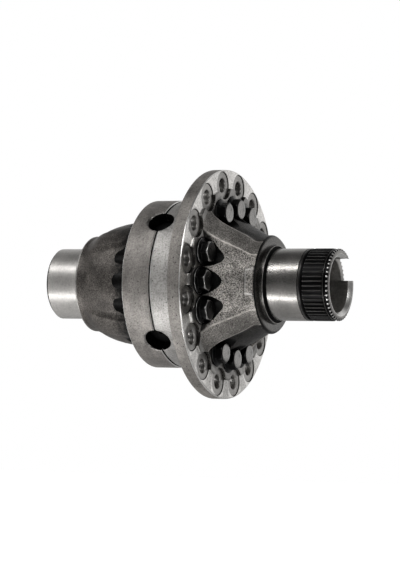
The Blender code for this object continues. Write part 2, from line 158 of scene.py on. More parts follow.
class Graph:
    """A node tree, and short ways to add nodes to it."""

    def __init__(self, tree):
        self.tree = tree

    def node(self, kind, **settings):
        made = self.tree.nodes.new(kind)
        for key, value in settings.items():
            setattr(made, key, value)
        return made

    def link(self, source, target):
        self.tree.links.new(source, target)

    def fill(self, node, values):
        """Link a node's inputs to the values that are sockets, and set the others."""
        for key, value in values.items():
            socket = node.inputs[key]
            if hasattr(value, "is_linked"):
                self.link(value, socket)
            else:
                socket.default_value = value

    def math(self, operation, *values):
        made = self.node("ShaderNodeMath", operation=operation)
        self.fill(made, dict(enumerate(values)))
        return made.outputs[0]

    def add(self, first, second):
        return self.math("ADD", first, second)

    def less(self, first, second):
        return self.math("SUBTRACT", first, second)

    def times(self, first, second):
        return self.math("MULTIPLY", first, second)

    def over(self, first, second):
        return self.math("DIVIDE", first, second)


class Look(Graph):
    """A material, and the nodes that give it its detail."""

    def __init__(self, name, metallic=1.0, anisotropy=0.0):
        self.material = bpy.data.materials.new(name)
        self.material.use_nodes = True
        super().__init__(self.material.node_tree)
        self.shader = self.tree.nodes["Principled BSDF"]
        self.fill(self.shader, {"Metallic": metallic, "Anisotropic": anisotropy})
        if anisotropy:
            tangent = self.node("ShaderNodeTangent", direction_type="RADIAL", axis="X")
            self.link(tangent.outputs["Tangent"], self.shader.inputs["Tangent"])
        self.place = self.node("ShaderNodeTexCoord").outputs["Object"]

    def ramp(self, source, stops):
        """A grey ramp; each stop is (position, value)."""
        made = self.node("ShaderNodeValToRGB")
        elements = made.color_ramp.elements
        while len(elements) < len(stops):
            elements.new(0.5)
        for element, (position, value) in zip(elements, stops):
            element.position = position
            element.color = (value, value, value, 1.0)
        self.link(source, made.inputs[0])
        return made.outputs["Color"]

    def noise(self, scale, detail=3.0, roughness=0.55, place=None):
        """Noise whose features are about 1/scale metres across."""
        made = self.node("ShaderNodeTexNoise")
        self.fill(made, {"Scale": scale, "Detail": detail, "Roughness": roughness,
                         "Vector": place or self.place})
        return made.outputs["Fac"]

    def cells(self, scale):
        """Distance to the nearest of scattered points, for pits."""
        made = self.node("ShaderNodeTexVoronoi")
        self.fill(made, {"Scale": scale, "Vector": self.place})
        return made.outputs["Distance"]

    def axes(self):
        """Place along X, Y and Z, and distance from the X axis, in metres."""
        parts = self.node("ShaderNodeSeparateXYZ")
        self.link(self.place, parts.inputs[0])
        x, y, z = parts.outputs
        squares = self.add(self.times(y, y), self.times(z, z))
        return x, y, z, self.math("SQRT", squares)

    def lathe_place(self, stretch=0.02):
        """Coordinates that hardly change round X, so noise on them turns into lathe marks."""
        x, y, z, r = self.axes()
        turn = self.times(self.math("ARCTAN2", z, y), stretch)
        joined = self.node("ShaderNodeCombineXYZ")
        self.fill(joined, {0: x, 1: r, 2: turn})
        return joined.outputs[0]

    def clamp(self, value):
        return self.math("MINIMUM", self.math("MAXIMUM", value, 0.0), 1.0)

    def past_arm_edge(self, bell, angles):
        """Degrees round X past the edge of the nearest arm, negative on the arm."""
        x, y, z, _ = self.axes()
        folded = self.math("PINGPONG", self.math("ARCTAN2", z, y), pi / 4)
        off = self.less(45.0, self.over(folded, radians(1)))
        start = bell[0][0]
        end = bell[-1][0]
        share = self.over(self.less(self.over(x, MM), start), end - start)
        edge = self.add(self.times(share, angles[1] - angles[0]), angles[0])
        return self.less(off, edge)

    def mix(self, factor, first, second, blend="MIX"):
        made = self.node("ShaderNodeMix", data_type="RGBA", blend_type=blend)
        values = [(*value, 1.0) if isinstance(value, tuple) else value for value in (factor, first, second)]
        self.fill(made, dict(zip((0, 6, 7), values)))
        return made.outputs[2]

    def multiply(self, first, second):
        return self.mix(1.0, first, second, "MULTIPLY")

    def bump(self, height, strength, distance, normal=None):
        made = self.node("ShaderNodeBump")
        self.fill(made, {"Strength": strength, "Distance": distance * MM, "Height": height})
        if normal:
            self.link(normal, made.inputs["Normal"])
        return made.outputs["Normal"]

    def finish(self, colour, roughness, normal):
        self.fill(self.shader, {"Base Color": colour, "Roughness": roughness, "Normal": normal})
        return self.material


def turned_metal(name, colour, stain, smooth, rough, marks, pits=0.0, anisotropy=0.6, metallic=1.0):
    """Machined metal: lathe marks, soft stains and small dark pits."""
    look = Look(name, metallic, anisotropy)
    lathe = look.lathe_place()
    fine = look.noise(2600, 2.0, 0.7, lathe)
    broad = look.noise(420, 3.0, 0.6, lathe)
    patches = look.noise(38, 5.0, 0.62)
    speckle = look.noise(520, 3.0, 0.65)
    stained = look.ramp(patches, ((0.36, 0.0), (0.62, 1.0)))
    shade = look.mix(stained, stain, colour)
    shade = look.multiply(shade, look.ramp(broad, ((0.3, 0.82), (0.7, 1.0))))
    speckled = look.ramp(speckle, ((0.32, 1.0 - 0.45 * min(1.0, pits * 1.4)), (0.56, 1.0)))
    shade = look.multiply(shade, speckled)
    if pits:
        specks = look.ramp(look.cells(150), ((0.05, 1.0 - pits), (0.17, 1.0)))
        shade = look.multiply(shade, specks)
    gloss = look.add(look.times(patches, rough - smooth), look.times(fine, 0.12))
    gloss = look.add(gloss, smooth - 0.06)
    normal = look.bump(fine, marks, 0.05)
    normal = look.bump(look.noise(60), 0.12, 0.25, normal)
    return look.finish(shade, gloss, normal)


def cast_metal(name, dark, light, roughness, grain, metallic=0.8, arms=None, painted_shade_band=None):
    """Cast iron skin: sandy and mottled.

    arms, a bell and its arm angles, makes the arms smoother and darker, with painted highlights on their
    edges;
    painted_shade_band, a place along X and the length it fades over, paints shade black over what lies
    before that place; with arms it spares the arms and paints shade on the sides above and below as well.
    """
    look = Look(name, metallic)
    look.shader.inputs["Specular IOR Level"].default_value = CAST_SPECULAR
    sand = look.noise(700, 2.0, 0.6)
    fine = look.noise(1500, 2.0, 0.6)
    lumps = look.noise(190)
    patches = look.noise(42, 4.0, 0.6)
    grains = look.add(look.times(sand, 0.6), look.times(fine, 0.4))
    if arms:
        past = look.past_arm_edge(*arms)
        on_arm = look.clamp(look.over(look.less(1.0, past), 2.0))
        calm = look.times(look.less(GRAIN_MIDDLE, grains), look.times(on_arm, 0.45))
        grains = look.add(calm, grains)
    sandy = look.ramp(grains, ((0.4, 0.0), (0.47, 0.25), (0.52, 0.55), (0.6, 1.0)))
    shade = look.mix(sandy, dark, light)
    shade = look.multiply(shade, look.ramp(patches, ((0.34, 0.5), (0.6, 1.0))))
    if arms:
        # painted highlight along the arms' edges, uneven along them
        highlight_line = look.less(1.0, look.times(look.math("ABSOLUTE", past), 0.9))
        uneven = look.ramp(look.noise(130), ((0.35, 0.3), (0.6, 1.0)))
        highlight_line = look.times(look.clamp(highlight_line), uneven)
        shade = look.mix(look.times(on_arm, 0.25), shade, dark)
        shade = look.mix(highlight_line, shade, light)
    # painted shade: black over the band, and with arms over the bell's top and bottom sides too
    if painted_shade_band:
        x, _, z, r = look.axes()
        below = look.over(look.less(painted_shade_band[0], look.over(x, MM)), painted_shade_band[1])
        below = look.add(below, look.times(lumps, 1.6))
        painted_shadow = look.clamp(look.less(below, 0.3))
        if arms:
            steepness = look.over(look.math("ABSOLUTE", z), r)
            above = look.over(look.less(steepness, STEEP), 0.08)
            painted_shadow = look.math("MAXIMUM", painted_shadow, look.times(look.clamp(above), 0.96))
            painted_shadow = look.times(painted_shadow, look.less(1.0, on_arm))
        shade = look.mix(look.times(painted_shadow, 0.94), shade, PAINTED_SHADE_COLOUR)
    gloss = look.add(look.times(grains, 0.3), roughness - 0.15)
    normal = look.bump(lumps, grain * 0.7, 0.6)
    normal = look.bump(grains, grain, 0.5, normal)
    return look.finish(shade, gloss, normal)


def black_steel(name, colour, worn, roughness):
    """Black oxide on steel, oily, its edges painted lighter for wear and as highlights."""
    look = Look(name, 0.85)
    grain = look.noise(700, 3.0, 0.6)
    patches = look.noise(90)
    edges = look.node("ShaderNodeNewGeometry").outputs["Pointiness"]
    # edges painted lighter, for wear and as highlights
    edge_wear_and_highlight = look.ramp(edges, ((0.53, 0.0), (0.64, 0.85)))
    shade = look.mix(edge_wear_and_highlight, colour, worn)
    shade = look.multiply(shade, look.ramp(patches, ((0.3, 0.6), (0.7, 1.0))))
    gloss = look.add(look.times(patches, 0.25), roughness - 0.12)
    return look.finish(shade, gloss, look.bump(grain, 0.25, 0.12))


def bearing_bronze(name):
    """Bronze, faintly brushed and darkened by oil."""
    look = Look(name, anisotropy=0.4)
    patches = look.noise(70, 4.0)
    oiled = look.ramp(patches, ((0.35, 0.0), (0.65, 1.0)))
    shade = look.mix(oiled, (0.2, 0.13, 0.07), (0.42, 0.28, 0.13))
    gloss = look.add(look.times(patches, 0.2), 0.22)
    return look.finish(shade, gloss, look.bump(look.noise(1500, 2.0, 0.6, look.lathe_place()), 0.2, 0.06))


CASE_LOOKS = {}


def make_case_looks():
    """The finishes that the case halves share, in the order of their material slots."""
    # near-black for painted shade in recesses and grooves
    painted_shadow = (0.002, 0.002, 0.002)
    CASE_LOOKS.update({
        # right bell: painted shade near the flange and on its top and bottom sides, painted highlights on its
        # arms' edges
        "cast": cast_metal("cast_bell", (0.06, 0.057, 0.053), (0.8, 0.757, 0.705), 0.44, 1.3,
                           arms=(RIGHT_BELL, RIGHT_ARM_ANGLES), painted_shade_band=(70.0, 5.0)),
        # the pad's lip, painted light as a highlight
        "highlight_line": cast_metal("lip_highlight_cast", (0.42, 0.407, 0.39), (0.85, 0.825, 0.79), 0.42, 0.6),
        # left bell: painted shade in a band next to its ring
        "dark_cast": cast_metal("dark_cast_bell", (0.044, 0.04, 0.0365), (0.178, 0.162, 0.148),
                                0.46, 0.3, 0.5, painted_shade_band=(-60.0, -20.0)),
        "turned": turned_metal("turned_iron", (0.46, 0.447, 0.43), (0.32, 0.31, 0.298), 0.36, 0.52, 0.5, 0.7),
        "ring": turned_metal("turned_dark_ring", (0.32, 0.301, 0.282), (0.206, 0.194, 0.182),
                             0.4, 0.56, 0.5, 0.7),
        "rim": turned_metal("turned_rim", (0.31, 0.292, 0.273), (0.196, 0.185, 0.173), 0.42, 0.58, 0.5, 0.95),
        "face": turned_metal("turned_face", (0.85, 0.827, 0.797), (0.66, 0.642, 0.618),
                             0.24, 0.36, 0.4, 0.7, 0.2),
        # chamfers and the raised ring's wall: lit by the lamps and also painted light as a highlight
        "edge": turned_metal("chamfer_painted_highlight", (0.88, 0.87, 0.85), (0.7, 0.69, 0.67), 0.24, 0.34, 0.3, 0.2, 0.0),
        # the rings' lips at the split and behind the left ring, painted light as a highlight
        "lip": turned_metal("lip_painted_highlight", (0.85, 0.84, 0.82), (0.6, 0.59, 0.57),
                            0.3, 0.4, 0.3, 0.3, 0.0, 0.3),
        # the right collar's face and the spotface walls, painted dark as shade
        "collar": turned_metal("turned_collar_painted_shade", (0.125, 0.12, 0.113), (0.075, 0.0725, 0.069),
                               0.2, 0.34, 0.5, 0.6),
        "ground": turned_metal("ground_journal", (0.35, 0.338, 0.322), (0.27, 0.262, 0.25),
                               0.19, 0.29, 0.12, 0.25),
        "matt": turned_metal("worn_journal", (0.5, 0.484, 0.464), (0.41, 0.397, 0.38),
                             0.25, 0.37, 0.2, 0.25, metallic=0.62),
        "black": black_steel("spline_black", (0.006, 0.006, 0.0062), (0.03, 0.03, 0.03), 0.4),
        "tip": black_steel("spline_tip", (0.05, 0.049, 0.047), (0.22, 0.215, 0.208), 0.34),
        # spline tooth tips at the ends and a ring on the dark collar, painted light for wear and as
        # highlights
        "worn": black_steel("spline_wear_and_highlight", (0.75, 0.735, 0.72), (0.9, 0.88, 0.86), 0.36),
        # bores, holes, grooves, the left journal's end chamfer and the inside of the case, painted near-black
        # as shade
        "bore": turned_metal("bore_painted_shade", (0.05, 0.0485, 0.0465), (0.025, 0.0243, 0.0233), 0.4, 0.6, 0.4),
        "reamed": turned_metal("reamed_bore", (0.5, 0.484, 0.462), (0.26, 0.25, 0.238),
                               0.3, 0.48, 0.4, 0.4, metallic=0.8),
        "milled": turned_metal("milled_iron", (0.4, 0.388, 0.372), (0.18, 0.174, 0.166),
                               0.3, 0.46, 0.3, 0.5, 0.0),
        "drilled": turned_metal("drilled_hole", (0.6, 0.582, 0.558), (0.26, 0.252, 0.242),
                                0.3, 0.44, 0.3, 0.4, 0.0),
        "spotface": turned_metal("spotface", (0.42, 0.407, 0.39), (0.3, 0.291, 0.278),
                                 0.3, 0.46, 0.3, 0.5, 0.0),
        # walls of the bolt pockets and reliefs, creases round the collar and the ring round each spotface
        # floor, painted black as shade
        "oily": cast_metal("recess_shade_cast", painted_shadow, (0.012, 0.0117, 0.0113), 0.4, 0.5, 0.6),
        # the split groove and the shoulder's undercut, painted black as shade
        "gap": cast_metal("gap_shade_black", painted_shadow, (0.006, 0.006, 0.006), 0.8, 0.3, 0.0)})


def zone(name):
    return list(CASE_LOOKS).index(name)


# ---------------------------------------------------------------- mesh helpers

def radial(angle):
    """The unit vector at an angle round X, from the front towards the top."""
    return Vector((0.0, -cos(radians(angle)), sin(radians(angle))))


def turn_to(direction):
    """The rotation that takes +X to a direction."""
    return AXIS.rotation_difference(Vector(direction)).to_matrix().to_4x4()


def frame_at(place, *axes):
    """The matrix of an object at a place, with its X, Y and Z along the axes."""
    return Matrix.Translation(place) @ Matrix(axes).transposed().to_4x4()


def to_mesh(bm, name):
    mesh = bpy.data.meshes.new(name)
    bm.to_mesh(mesh)
    bm.free()
    return mesh


def place_object(name, data):
    obj = bpy.data.objects.new(name, data)
    bpy.context.scene.collection.objects.link(obj)
    return obj


def mesh_from(bm, name, looks, smooth_angle=SHARP_ANGLE):
    """Turn a bmesh in millimetres into an object in metres, with its faces outwards."""
    bmesh.ops.recalc_face_normals(bm, faces=bm.faces)
    if bm.calc_volume(signed=True) < 0:
        bmesh.ops.reverse_faces(bm, faces=bm.faces)
    bmesh.ops.scale(bm, vec=(MM, MM, MM), verts=bm.verts)
    mesh = to_mesh(bm, name)
    for look in looks:
        mesh.materials.append(look)
    mesh.shade_smooth()
    mesh.set_sharp_from_angle(angle=radians(smooth_angle))
    return place_object(name, mesh)


def settle(obj, body, node):
    """Fix a piece to its body, in the place of its CAD node."""
    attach(obj, body)
    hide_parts(node)


def rounded(corners, arc_steps=3):
    """A profile with rounded corners; each corner is (x, r, radius, finish of what follows)."""
    made = []
    for i, (x, r, corner, finish) in enumerate(corners):
        if not corner or i in (0, len(corners) - 1):
            made.append((x, r, finish))
            continue
        here = Vector((x, r))
        back = (Vector(corners[i - 1][:2]) - here).normalized()
        ahead = (Vector(corners[i + 1][:2]) - here).normalized()
        for step in range(arc_steps + 1):
            t = step / arc_steps
            point = here + back * corner * (1 - t) ** 2 + ahead * corner * t ** 2
            made.append((point.x, point.y, finish))
    return made


def smooth_curve(points, x):
    """A smooth line through (x, value, value...) points, as a row of values at x."""
    points = sorted(points)
    i = 0
    while i < len(points) - 2 and x > points[i + 1][0]:
        i += 1
    first = points[i]
    last = points[i + 1]
    before = points[max(0, i - 1)]
    after = points[min(len(points) - 1, i + 2)]
    span = last[0] - first[0]
    t = (x - first[0]) / span
    row = []
    for k in range(1, len(first)):
        start = (last[k] - before[k]) / (last[0] - before[0]) * span
        end = (after[k] - first[k]) / (after[0] - first[0]) * span
        row.append((2 * t ** 3 - 3 * t ** 2 + 1) * first[k] + (t ** 3 - 2 * t ** 2 + t) * start
                   + (3 * t ** 2 - 2 * t ** 3) * last[k] + (t ** 3 - t ** 2) * end)
    return row


def even_ring(x, radius, count, finish):
    return x, np.full(count, radius), np.arange(count) * 2 * pi / count, finish


def rings_of(corners, count=STEPS, arc_steps=3):
    return [even_ring(x, r, count, finish) for x, r, finish in rounded(corners, arc_steps)]


def bell_rings(stations, arm_angles, finish, pad=None):
    """Rings of a bell: round at the collar, with four broad crisp-edged arms towards the flange.

    The rings' points move round so that mesh lines follow the arms' edges.
    """
    start = stations[0][0]
    end = stations[-1][0]
    step = 360 / STEPS
    even_angles = np.arange(STEPS) * 2 * pi / STEPS
    across = (np.degrees(even_angles) % 90) - 45
    shares = [(i / BELL_STATIONS) ** 1.5 for i in range(BELL_STATIONS + 1)]
    if pad:
        shares = sorted(shares + [(pad[0] + step_x - start) / (end - start) for step_x in PAD_STEPS])
    rings = []
    for share in shares:
        x = start + (end - start) * share
        low, high = smooth_curve(stations, x)
        edge = arm_angles[0] + (arm_angles[1] - arm_angles[0]) * share
        knots = (0, ARM_EDGE_STEPS * step, ARM_FOOT_STEPS * step, 45)
        from_arm = np.interp(np.abs(across), knots, (0, edge, edge + ARM_SIDE_ANGLE, 45))
        angles = even_angles + np.radians(np.sign(across) * (from_arm - np.abs(across)))
        down = np.clip((from_arm - edge) / ARM_SIDE_ANGLE, 0, 1)
        crown = 1.2 * np.clip(from_arm / edge, 0, 1) ** 2 * (high - low) / 12
        radii = low + (high - low - crown) * (1 - down) ** 1.7
        points = [Vector((x, r * cos(a), r * sin(a))) for r, a in zip(radii, angles)]
        rough = [0.3 * noise.noise(point / 11) + 0.12 * noise.noise(point / 4) for point in points]
        inside = min(1.0, 4 * share, 4 * (1 - share))
        radii = radii + np.array(rough) * inside
        finishes = finish
        if pad:
            lift = pad_rise(x, np.degrees(angles), *pad[:3])
            radii = radii + lift * pad[3]
            # the top of the pad's side is painted light as a highlight
            inner = pad_rise(x - PAD_LIP, np.degrees(angles), pad[0], pad[1], pad[2] - PAD_LIP)
            finishes = ["highlight_line" if part > 0.98 > deep else finish for part, deep in zip(lift, inner)]
        rings.append((x, radii, angles, finishes))
    return rings


def pad_rise(x, angles, start, middle, half):
    """Share of the cast pad's rise, 0 off it and 1 on it; the pad widens towards the collar."""
    off = np.abs((angles - middle + 180) % 360 - 180)
    side = np.clip((half + (x - start) * 0.25 - off) / 1.9, 0, 1)
    return side * min(1.0, max(0.0, (x - start) / PAD_STEPS[2]))


def toothed_ring(x, root_r, tip_r, finish, tip=0.09):
    """A ring of spline teeth; tip is half of a tooth's tip, as a share of the pitch."""
    teeth = STEPS // TOOTH_STEPS
    parts = np.tile((-0.34, -tip, tip, 0.34), teeth)
    radii = np.tile((root_r, tip_r, tip_r, root_r), teeth)
    angles = (np.repeat(np.arange(teeth), TOOTH_STEPS) + 0.375 + parts) * 2 * pi / teeth
    return x, radii, angles, finish


def ring_body(rings, looks):
    """A closed body from rings (x, radii, angles, finish of the next strip), last joined to first.

    A finish that is a row of names repeats round the ring.
    """
    bm = bmesh.new()
    names = list(looks)
    skins = []
    for ring in rings:
        skins.append([bm.verts.new((x, -r * cos(a), r * sin(a))) for x, r, a in np.broadcast(*ring[:3])])
    for number, (_, _, _, finish) in enumerate(rings):
        here = skins[number]
        there = skins[(number + 1) % len(skins)]
        for i in range(len(here)):
            face = bm.faces.new((here[i - 1], here[i], there[i], there[i - 1]))
            here_finish = finish if isinstance(finish, str) else finish[i % len(finish)]
            face.material_index = names.index(here_finish)
    return bm


def turned_body(rings, name, looks, smooth_angle=SHARP_ANGLE):
    """The object that rings make, with a look for each finish that they name."""
    return mesh_from(ring_body(rings, looks), name, looks.values(), smooth_angle)


def pin_cutter(bm, profile, angle, pitch_r, steps):
    """Add a turned cutter along X on a bolt circle; each profile point is (x, r, finish)."""
    centre = radial(angle) * pitch_r
    skins = []
    for x, r, _ in profile:
        turns = [2 * pi * (i + 0.5) / steps for i in range(steps)]
        skins.append([bm.verts.new((x, centre.y + r * cos(a), centre.z + r * sin(a))) for a in turns])
    for here, there, (_, _, finish) in zip(skins, skins[1:], profile):
        for i in range(steps):
            face = bm.faces.new((here[i - 1], here[i], there[i], there[i - 1]))
            face.material_index = zone(finish)
    for skin in (skins[0], skins[-1]):
        bm.faces.new(skin).material_index = zone(profile[0][2])
    return bm


def case_cutters():
    """The flange holes with their spotfaces, and the bolt holes with their pockets and reliefs."""
    bm = bmesh.new()
    spot_floor = FLANGE_FRONT - SPOTFACE_DEPTH
    # hole walls, spotface walls and the ring round each spotface floor are painted dark as shade
    flange = [
        (FLANGE_BACK - 4, FLANGE_HOLE_R + 4.8, "milled"), (FLANGE_BACK + 0.8, FLANGE_HOLE_R, "bore"),
        (spot_floor - 8, FLANGE_HOLE_R, "drilled"), (spot_floor - 1.0, FLANGE_HOLE_R, "spotface"),
        (spot_floor, FLANGE_HOLE_R + 1.0, "spotface"), (spot_floor, SPOTFACE_R - 0.8, "oily"),
        (spot_floor, SPOTFACE_R, "collar"), (BOLT_SEAT + 4, SPOTFACE_R, "collar")]
    for i in range(FLANGE_HOLES):
        pin_cutter(bm, flange, (i + 0.5) * 360 / FLANGE_HOLES, FLANGE_PITCH_R, HOLE_STEPS)
    start, end = RELIEF
    # pocket and relief walls are painted black as shade
    bolt = [
        (start - 3.0, RELIEF_R - 9, "oily"), (start, RELIEF_R - 2.5, "oily"), (start + 5, RELIEF_R, "oily"),
        (end, RELIEF_R, "oily"), (end, BOLT_HOLE_R, "bore"), (POCKET_FLOOR, BOLT_HOLE_R, "oily"),
        (POCKET_FLOOR, POCKET_R - 1.5, "oily"), (POCKET_FLOOR + 0.45, POCKET_R - 0.45, "oily"),
        (POCKET_FLOOR + 1.5, POCKET_R, "oily"), (RIGHT_HUB_FACE, POCKET_R, "oily")]
    for angle in BOLT_ANGLES:
        pin_cutter(bm, bolt, angle, BOLT_PITCH_R, POCKET_STEPS)
    return bm


def four_round(make_piece):
    """One bmesh of a piece along X turned to each arm of the cross."""
    whole = bmesh.new()
    for angle in ARM_ANGLES:
        piece = make_piece()
        bmesh.ops.transform(piece, matrix=turn_to(radial(angle)), verts=piece.verts)
        whole.from_mesh(to_mesh(piece, "turned_piece"))
    return whole


def arm_hole_cutters():
    """The four radial holes on the split line, with their chamfered mouths."""
    mouth = LEFT_RING_R - 1.2
    profile = [(CAVITY_R - CASE_ARM_HOLE_R, CASE_ARM_HOLE_R, "bore"),
               (mouth - 0.9, CASE_ARM_HOLE_R, "milled"), (mouth + 4, CASE_ARM_HOLE_R + 4.9, "milled")]
    return four_round(lambda: pin_cutter(bmesh.new(), profile, 0, 0, ARM_HOLE_STEPS))


def notch_cutter():
    """The slot across the far wall of the splined end."""
    bm = bmesh.new()
    low = Vector((NOTCH_FLOOR, NOTCH_START, NOTCH_LOW))
    high = Vector((RIGHT_END + 5, JOURNAL_R + 5, NOTCH_HIGH))
    bmesh.ops.create_cube(bm, size=1)
    bmesh.ops.scale(bm, vec=high - low, verts=bm.verts)
    bmesh.ops.translate(bm, vec=(low + high) / 2, verts=bm.verts)
    for face in bm.faces:
        face.material_index = zone("milled")
    return bm


def combine(obj, helpers, operation):
    """Cut the helpers from an object or join them to it, and keep the result as its mesh."""
    for helper in helpers:
        modifier = obj.modifiers.new(helper.name, "BOOLEAN")
        modifier.operation = operation
        modifier.solver = "EXACT"
        modifier.use_self = operation == "UNION"
        modifier.object = helper
    view = bpy.context.evaluated_depsgraph_get()
    obj.data = bpy.data.meshes.new_from_object(obj.evaluated_get(view), depsgraph=view)
    obj.modifiers.clear()
    for helper in helpers:
        bpy.data.objects.remove(helper)


def soften_cuts(obj, width):
    """Chamfer the sharp edges that the cuts left."""
    bm = bmesh.new()
    bm.from_mesh(obj.data)
    bmesh.ops.remove_doubles(bm, verts=bm.verts, dist=0.12 * MM)
    bmesh.ops.dissolve_degenerate(bm, edges=bm.edges, dist=0.05 * MM)
    sharp = [e for e in bm.edges if len(e.link_faces) == 2 and e.is_manifold
             and e.calc_face_angle_signed(0) > radians(BEVEL_ANGLE)]
    bmesh.ops.bevel(bm, geom=sharp, offset=width * MM, segments=2, profile=0.5,
                    affect="EDGES", clamp_overlap=False, material=-1)
    bmesh.ops.remove_doubles(bm, verts=bm.verts, dist=0.02 * MM)
    bm.to_mesh(obj.data)
    bm.free()
    obj.data.shade_smooth()
    obj.data.set_sharp_from_angle(angle=radians(SHARP_ANGLE))


# ---------------------------------------------------------------- case halves

def cavity(side, split):
    """The inside of a case half, from its axle bore back to the split plane, as ring profile points."""
    points = [(HUB_BORE_END, AXLE_BORE_R, 0, "bore"), (HUB_BORE_END, HUB_BORE_R, 0.6, "bore"),
              (GEAR_SEAT_X, HUB_BORE_R, 1.0, "milled")]
    for a in np.linspace(acos(GEAR_SEAT_X / CAVITY_R), pi / 2, 11):
        points.append((max(CAVITY_R * cos(a), abs(split)), CAVITY_R * sin(a), 0, "bore"))
    points[-1] = (abs(split), CAVITY_R, 0, "turned")
    return [(side * x, r, corner, finish) for x, r, corner, finish in points]


def case_half(rings, name, *more_cutters):
    """A case half: its turned body with everything cut from it."""
    half = turned_body(rings, name, CASE_LOOKS)
    cutters = [case_cutters(), arm_hole_cutters(), *more_cutters]
    combine(half, [mesh_from(bm, "cutter", CASE_LOOKS.values()) for bm in cutters], "DIFFERENCE")
    soften_cuts(half, CASE_CHAMFER)
    return half


def make_flanged_half():
    """The right half: ring, flange, bell, journal and splined end."""
    rings = rings_of([
        (SPLIT_RIGHT, CAVITY_R + 0.8, 0, "turned"),
        (SPLIT_RIGHT, RIGHT_RING_R - 3.0, 0, "gap"),
        (SPLIT_RIGHT + 0.35, RIGHT_RING_R - 3.0, 0, "gap"),
        (SPLIT_RIGHT + 0.35, RIGHT_RING_R - 1.6, 0, "lip"),
        (SPLIT_RIGHT + 2.3, RIGHT_RING_R, 0.2, "turned"),
        (FLANGE_BACK, RIGHT_RING_R, 1.0, "ring"),
        (FLANGE_BACK, FLANGE_R, 1.1, "rim"),
        (FLANGE_FRONT - 1.1, FLANGE_R, 0.3, "edge"),
        (FLANGE_FRONT, FLANGE_R - 1.1, 0.3, "face"),
        (FLANGE_FRONT, RAISED_RING_R, 0.5, "edge"),
        (BOLT_SEAT, RAISED_RING_R, 0.8, "milled"),
        (BOLT_SEAT, 117.0, 0, "milled")])
    rings += bell_rings(RIGHT_BELL, RIGHT_ARM_ANGLES, "cast", PAD)
    rings += rings_of([
        # the creases round the collar are painted black as shade
        (RIGHT_HUB_FACE - 2.3, RIGHT_COLLAR_R - 0.5, 0, "oily"),
        (RIGHT_HUB_FACE - 1.9, RIGHT_COLLAR_R - 0.7, 0.3, "oily"),
        (RIGHT_HUB_FACE, RIGHT_COLLAR_R - 2.6, 0.9, "collar"),
        (RIGHT_HUB_FACE, SHOULDER_R + 1.2, 0, "oily"),
        (RIGHT_HUB_FACE, SHOULDER_R, 0.5, "collar"),
        (SHOULDER_FACE, SHOULDER_R, 0.5, "turned"),
        (SHOULDER_FACE, SHOULDER_R - 1.1, 0.3, "gap"),
        (SHOULDER_FACE - 0.4, UNDERCUT_R, 0.5, "gap"),
        (RIGHT_JOURNAL_START - 1.4, UNDERCUT_R, 0.5, "bore"),
        (RIGHT_JOURNAL_START, JOURNAL_R, 0.3, "ground"),
        (DARK_COLLAR_START, JOURNAL_R, 0, "black"),
        (DARK_COLLAR_START + 0.2, JOURNAL_R - 0.6, 0, "black"),
        (DARK_COLLAR_START + 0.9, JOURNAL_R - 0.6, 0, "worn"),
        (DARK_COLLAR_START + 1.3, JOURNAL_R, 0, "tip"),
        (DARK_COLLAR_END, JOURNAL_R, 1.0, "black"),
        (DARK_COLLAR_END, GROOVE_R, 0.5, "black"),
        (SPLINE_START, GROOVE_R, 0, "black")])
    teeth = ("black", "black", "tip", "black")
    wear_and_highlight_teeth = ("black", "black", "worn", "black")
    rings += [toothed_ring(SPLINE_START, SPLINE_ROOT_R, JOURNAL_R - 0.8, wear_and_highlight_teeth),
              toothed_ring(SPLINE_START + 0.9, SPLINE_ROOT_R, JOURNAL_R, teeth),
              toothed_ring(SPLINE_END - 0.9, SPLINE_ROOT_R, JOURNAL_R, teeth),
              toothed_ring(SPLINE_END, SPLINE_ROOT_R, JOURNAL_R - 0.8, "black")]
    rings += rings_of([
        (SPLINE_END, GROOVE_R, 0, "black"),
        (SPLINE_END + 0.5, GROOVE_R + 1.6, 0, "tip"),
        (SPLINE_END + 1.8, GROOVE_R + 1.6, 0, "black"),
        (SPLINE_END + 2.2, GROOVE_R, 0, "black"),
        (END_LAND_START, GROOVE_R, 0, "black")])
    rings += [toothed_ring(END_LAND_START, SPLINE_ROOT_R, JOURNAL_R - 0.2, wear_and_highlight_teeth, 0.2),
              toothed_ring(END_LAND_START + 1.7, SPLINE_ROOT_R, JOURNAL_R - 0.3, wear_and_highlight_teeth, 0.2)]
    rings += rings_of([
        (END_LAND_START + 2.4, SPLINE_ROOT_R - 0.2, 0, "turned"),
        (RIGHT_END, SPLINE_ROOT_R - 1.4, 0.2, "turned"),
        (RIGHT_END, AXLE_BORE_R + 4.5, 0.4, "edge"),
        (RIGHT_END - 4.5, AXLE_BORE_R, 0.4, "reamed")] + cavity(1, SPLIT_RIGHT))
    return case_half(rings, "flanged_case_half", notch_cutter())


